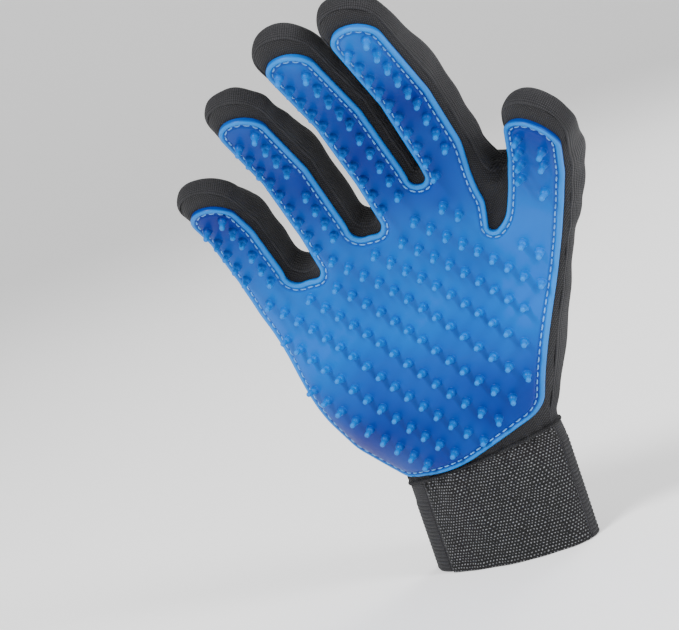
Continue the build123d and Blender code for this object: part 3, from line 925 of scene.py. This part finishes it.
def pin_spots():
    """Pattern points of the pins: rows across the palm, and two staggered columns up each finger."""
    spots = []
    turn = math.radians(ROW_TURN)
    row_way = np.array([math.cos(turn), -math.sin(turn)])
    next_row = np.array([math.sin(turn), math.cos(turn)])
    first = np.array([FIRST_PIN[0], SEAM + FIRST_PIN[1]])
    for row in range(ROW_COUNT):
        for column in range(-COLUMN_COUNT, COLUMN_COUNT + 1):
            x, s = first + next_row * row * PIN_ROWS + row_way * column * PIN_PITCH
            height = s if s > ROOT_S else HEEL_PLAN + (s - SEAM) * PLAN_SHARE
            below_thumb = (np.array([x, height]) - [THUMB.x, THUMB.s]) @ THUMB.along < -2 * PIN_GUARD
            if seam(x) < s and height < KNUCKLE_ROW + KNUCKLE_RISE * x and below_thumb:
                spots.append((x, s))
    for finger in FINGERS[:4]:
        spots += columns(finger, KNUCKLE_ROW + ROOT_CLEAR + KNUCKLE_RISE * finger.x - finger.s, 0, 0)
        spots += columns(finger, 0, finger.lower - PIN_GUARD, 0)
        spots += columns(finger, 0, finger.pad_tip - finger.lower - TIP_CLEAR, finger.lower)
    spots += columns(THUMB, THUMB_BARE, THUMB.lower - PIN_GUARD, 0)
    spots += columns(THUMB, 0, THUMB.pad_tip - THUMB.lower - THUMB_TIP_CLEAR, THUMB.lower)
    spots = np.array(spots)
    keep = inside(PAD_EDGE, spots[:, 0], spots[:, 1])
    keep &= distance_to(PAD_EDGE, spots[:, 0], spots[:, 1], closed=True) > PIN_MARGIN
    return spots[keep]


def columns(finger, start, end, shift):
    """Two staggered columns of pins between two heights above a joint line, itself at shift."""
    spots = []
    for side, first in ((-1, PIN_GUARD), (1, PIN_GUARD + STALL_PITCH // 2)):
        rows = range(math.floor((start - first) / STALL_PITCH) + 1,
                     math.floor((end - first) / STALL_PITCH) + 1)
        spots += [tuple(finger.at(side * STALL_COLUMN, shift + first + row * STALL_PITCH)) for row in rows]
    return spots


def bases(x, s, way_x, way_s, height):
    """Frames on the pad for small parts: origin, direction along, across and out."""
    points, out = surface(x, s, 1)
    ahead, _ = surface(x + way_x * 0.5, s + way_s * 0.5, 1)
    along = ahead - points
    along -= out * (along * out).sum(1)[:, None]
    along /= np.linalg.norm(along, axis=1)[:, None]
    return points + out * height, along, np.cross(along, out), out


def scattered(spots, ways, height, co, faces, label, material, nodes_of):
    """One small moulded or sewn shape at every spot, joined into one piece for each body."""
    origin, along, across, out = bases(spots[:, 0], spots[:, 1], ways[:, 0], ways[:, 1], height)
    groups = {}
    for i, (x, s) in enumerate(spots):
        groups.setdefault(segment_of(x, s), []).append(i)
    for body, members in groups.items():
        points, all_faces, texture = [], [], []
        for n, i in enumerate(members):
            points.append(origin[i] + co[:, :1] * across[i] + co[:, 1:2] * along[i] + co[:, 2:] * out[i])
            # the mark is 20 plus the height of a point on the shape; on the pins the rubber reads it for a
            # painted highlight towards the tips
            texture.append(np.column_stack([spots[i] + co[:, :2] + co[:, 2:] * 0.7, 20 + co[:, 2]]))
            all_faces += [tuple(k + n * len(co) for k in face) for face in faces]
        points, texture = np.vstack(points), np.vstack(texture)
        normals = vertex_normals(points, all_faces)
        piece = as_object(f"{body}_{label}", points, all_faces, texture, normals)
        shown(piece, body, material, nodes_of(body))


def lathe(profile, sides):
    """A turned shape about the third axis; a radius of 0 closes it."""
    co, faces = [], []
    for radius, height in profile[:-1]:
        turns = [2 * math.pi * k / sides for k in range(sides)]
        co += [(radius * math.cos(a), radius * math.sin(a), height) for a in turns]
    co.append((0, 0, profile[-1][1]))
    for r in range(len(profile) - 2):
        faces += [(r * sides + k, r * sides + (k + 1) % sides, (r + 1) * sides + (k + 1) % sides,
                   (r + 1) * sides + k) for k in range(sides)]
    top = (len(profile) - 2) * sides
    faces += [(top + k, top + (k + 1) % sides, len(co) - 1) for k in range(sides)]
    return np.array(co), faces


def stitch_shape():
    """A short rounded stitch that dips into the rubber at both ends."""
    co, faces, sides, rings = [], [], 8, 9
    for r in range(rings):
        t = -1 + 2 * r / (rings - 1)
        radius = 0.30 * math.sqrt(max(0.06, 1 - t ** 4))
        for k in range(sides):
            a = 2 * math.pi * k / sides
            co.append((radius * math.cos(a) * 1.15, 1.35 * t, 0.18 - 0.28 * t * t + radius * math.sin(a)))
    for r in range(rings - 1):
        faces += [(r * sides + k, r * sides + (k + 1) % sides, (r + 1) * sides + (k + 1) % sides,
                   (r + 1) * sides + k)[::-1] for k in range(sides)]
    return np.array(co), faces


make_pad()
PINS = pin_spots()
spike, spike_faces = lathe(SPIKE, 18)
scattered(PINS, np.tile([0.0, 1.0], (len(PINS), 1)), PAD, spike, spike_faces,
          "pins", RUBBER, pad_name)

STITCH_INSET, STITCH_STEP = 2.6, 3.6         # thread line inside the pad's edge, and its stitches
sewn, _ = resample(PAD_LINE + PAD_IN * STITCH_INSET, STITCH_STEP, closed=True)
run = np.roll(sewn, -1, 0) - np.roll(sewn, 1, 0)
run /= np.linalg.norm(run, axis=1)[:, None]
dash, dash_faces = stitch_shape()
scattered(sewn, run, 1.45, dash, dash_faces, "stitches", THREAD,
          lambda body: ("palm_pad_thread" if body == "hand" else body + "_pad_thread",))


# ---- cuff -----------------------------------------------------------------------------------
PANEL_START, PANEL_END = math.radians(-44), math.radians(76)   # the woven panel round the cuff
RIB_PITCH, FINE_PITCH = 1.75, 1.0            # ribs of the elastic, and of its zone under the seam


def on_cuff(theta, s, height):
    """Points on the cuff: theta runs round it from the middle of the palm side towards +x."""
    def at(turn, up):
        return place(CUFF_HALF * np.sin(turn), up, np.cos(turn))
    base = at(theta, s)
    out = np.cross(at(theta + 1e-3, s) - base, at(theta, s + 0.05) - base)
    return base + out / np.linalg.norm(out, axis=1)[:, None] * height[:, None]


def cuff_piece(name, theta, steps, rise, material, nodes):
    """A length of cuff wall with its rolled lower rim; rise(theta, up) is its surface relief in mm."""
    top = seam(CUFF_HALF * np.sin(theta))
    run = np.concatenate([[0], np.cumsum(np.hypot(np.diff(CUFF_HALF * np.sin(theta)),
                                                  np.diff(CUFF_DEEP * np.cos(theta))))])
    rows = [(1 - t, 0.0, 1.0) for t in np.linspace(0, 1, steps)]
    rows += [(0.0, -0.5, 0.6), (-0.01, -1.1, 0.0), (0.0, -1.7, 0.0), (0.02, -2.0, 0.0), (0.3, -2.1, 0.0),
             (0.7, -2.0, 0.0), (1.0, -2.0, 0.0)]
    points, texture = [], []
    for t, depth, relief in rows:
        s = np.maximum(top * t, 0.35 if depth > -0.2 or depth < -1.9 else 0.0)
        points.append(on_cuff(theta, s, depth + relief * rise(theta, s, top - s)))
        texture.append(np.column_stack([run, s + (depth if depth < -1 else 0)]))
    sheet = banded([(p, np.zeros(len(p)), t) for p, t in zip(points, texture)], closed=False)
    faces = [f[::-1] for f in sheet.faces]
    piece = as_object(name, sheet.co, faces, sheet.texture, vertex_normals(sheet.co, faces))
    shown(piece, "hand", material, nodes)


def woven_rise(theta, s, below):
    """Soft waves, a turned hem with its stitch line, gathers at the top and a dip at each side seam."""
    edge = np.minimum(theta - PANEL_START, PANEL_END - theta) * 30
    waves = 0.3 * np.sin(theta * 7 + s * 0.10) + 0.2 * np.sin(theta * 15 - s * 0.16)
    hem = 0.25 * (1 - ease((s - 3.2) / 0.8)) - 0.3 * np.exp(-((s - 3.8) / 0.4) ** 2)
    fold = 0.55 * np.sin(theta * 40 + 2 * np.sin(theta * 9)) * (1 - ease(below / 8))
    return 0.1 + (0.6 + waves + hem + fold) * ease(edge / 1.6)


def elastic_rise(theta, s, below):
    """Raised ribs that run round the cuff, finer in a zone under the seam."""
    wander = 0.25 * np.sin(theta * 5)
    coarse = np.abs(np.sin(math.pi * (s + wander) / RIB_PITCH)) ** 0.8
    fine = np.abs(np.sin(math.pi * (s + wander) / FINE_PITCH)) ** 0.8
    zone = ease((below - 8) / 1.0)
    edge = np.minimum(theta - PANEL_END, PANEL_START + 2 * math.pi - theta) * 30
    ribs = 0.1 + 0.7 * coarse * zone + 0.35 * fine * (1 - zone)
    return ribs * ease(edge / 0.8) + 0.15 * np.sin(theta * 11)


cuff_piece("cuff_woven_panel", np.linspace(PANEL_START, PANEL_END, 180), 90, woven_rise,
           WOVEN, ("cuff_palm_panel",))
cuff_piece("cuff_ribbed_elastic", np.linspace(PANEL_END, PANEL_START + 2 * math.pi, 190), 260,
           elastic_rise, ELASTIC, ("cuff_elastic_band",))


def cord_round(name, theta, up, out, radius, material):
    """A thin piped seam that runs round the top of the cuff."""
    rings = []
    for k in range(10):
        a = 2 * math.pi * k / 10
        s = seam(CUFF_HALF * np.sin(theta)) + up + radius * math.sin(a)
        twist = 0.12 * np.sin(theta * 150)
        points = on_cuff(theta, s, np.full(len(theta), out + radius * math.cos(a)) + twist)
        rings.append((points, np.zeros(len(theta)), np.column_stack([theta * 30, s])))
    rings.append(rings[0])
    sheet = banded(rings, closed=True)
    piece = as_object(name, sheet.co, sheet.faces, sheet.texture, vertex_normals(sheet.co, sheet.faces))
    shown(piece, "hand", material, ())


cord_round("cuff_seam_piping", np.linspace(0, 2 * math.pi, 720, endpoint=False), 0.3, 0.35, 0.8,
           CLOTH_LOOK)


# ---- floor and light ------------------------------------------------------------------------
def studio_floor():
    """A pale floor that curves up into a low rim far away, so no horizon shows."""
    profile = [(0.0, 0.0), (2.5, 0.0)]
    profile += [(2.5 + 1.5 * math.sin(a), 1.5 - 1.5 * math.cos(a)) for a in np.linspace(0.05, 1.35, 20)]
    mesh = bpy.data.meshes.new("floor")
    sides, points, faces = 96, [], []
    for r, z in profile:
        points += [(r * math.cos(2 * math.pi * k / sides), r * math.sin(2 * math.pi * k / sides), z)
                   for k in range(sides)]
    for n in range(len(profile) - 1):
        faces += [(n * sides + k, n * sides + (k + 1) % sides, (n + 1) * sides + (k + 1) % sides,
                   (n + 1) * sides + k) for k in range(sides)]
    mesh.from_pydata(points, [], faces)
    mesh.polygons.foreach_set("use_smooth", [True] * len(mesh.polygons))
    look = bpy.data.materials.new("floor")
    look.use_nodes = True
    look.node_tree.nodes["Principled BSDF"].inputs["Base Color"].default_value = (0.92, 0.92, 0.92, 1)
    look.node_tree.nodes["Principled BSDF"].inputs["Roughness"].default_value = 0.95
    look.node_tree.nodes["Principled BSDF"].inputs["Emission Color"].default_value = (1, 1, 1, 1)
    look.node_tree.nodes["Principled BSDF"].inputs["Emission Strength"].default_value = 0.25
    mesh.materials.append(look)
    floor = bpy.data.objects.new("floor", mesh)
    bpy.context.scene.collection.objects.link(floor)


studio_floor()
world = bpy.data.worlds.new("studio")
world.use_nodes = True
world.node_tree.nodes["Background"].inputs[0].default_value = (1, 1, 1, 1)
world.node_tree.nodes["Background"].inputs[1].default_value = 0.55
bpy.context.scene.world = world


def lamp(name, place_at, size, power):
    light = bpy.data.lights.new(name, "AREA")
    light.shape, light.size, light.energy = "DISK", size, power
    holder = bpy.data.objects.new(name, light)
    holder.location = place_at
    holder.rotation_euler = (Vector((0, -0.03, 0.12)) - Vector(place_at)).to_track_quat("-Z", "Y").to_euler()
    bpy.context.scene.collection.objects.link(holder)


lamp("key", (-0.3, -1.2, 1.5), 0.5, 39)
lamp("side", (1.3, -0.4, 0.8), 0.4, 16)
lamp("back", (0.2, 1.3, 1.2), 0.9, 14)
